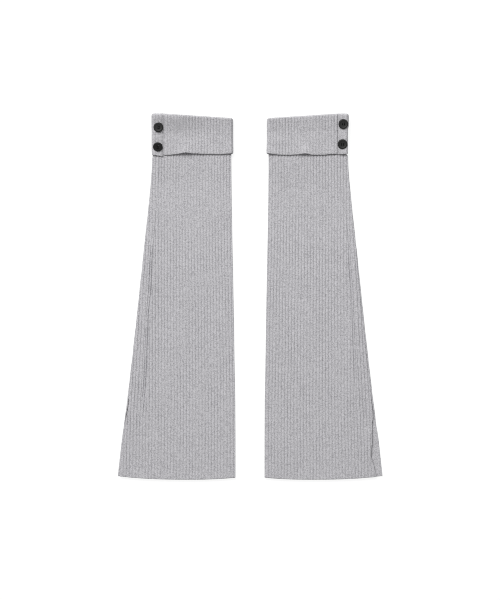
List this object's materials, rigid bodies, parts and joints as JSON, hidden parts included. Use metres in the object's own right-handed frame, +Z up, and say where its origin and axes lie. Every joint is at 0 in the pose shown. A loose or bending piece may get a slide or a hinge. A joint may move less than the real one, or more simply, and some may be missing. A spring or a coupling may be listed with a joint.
{
  "type": "pair of leg warmers",
  "caption": "Flared rib-knit leg warmers laid flat side by side, with turned-down buttoned cuffs, an outer side seam ending in a slit, and a curved hem.",
  "frame": {"origin": "centre of the pair's footprint, on the surface that it lies on", "axes": "+X to the right across the pair seen from above, +Y along the legs from hem to cuff, +Z up from the surface"},
  "size_m": [0.359, 0.4939, 0.0198],
  "materials": {
    "rib_knit": "matte heather-grey rib knit",
    "cuff_rib_knit": "matte heather-grey rib knit",
    "button_plastic": "satin black"
  },
  "bodies": {
    "root": {"left_front_panel": "rib_knit", "left_back_panel": "rib_knit", "left_cuff": "cuff_rib_knit", "left_button_tab": "cuff_rib_knit", "left_button_upper": "button_plastic", "left_button_lower": "button_plastic", "right_front_panel": "rib_knit", "right_back_panel": "rib_knit", "right_cuff": "cuff_rib_knit", "right_button_tab": "cuff_rib_knit", "right_button_upper": "button_plastic", "right_button_lower": "button_plastic"}
  },
  "joints": []
}
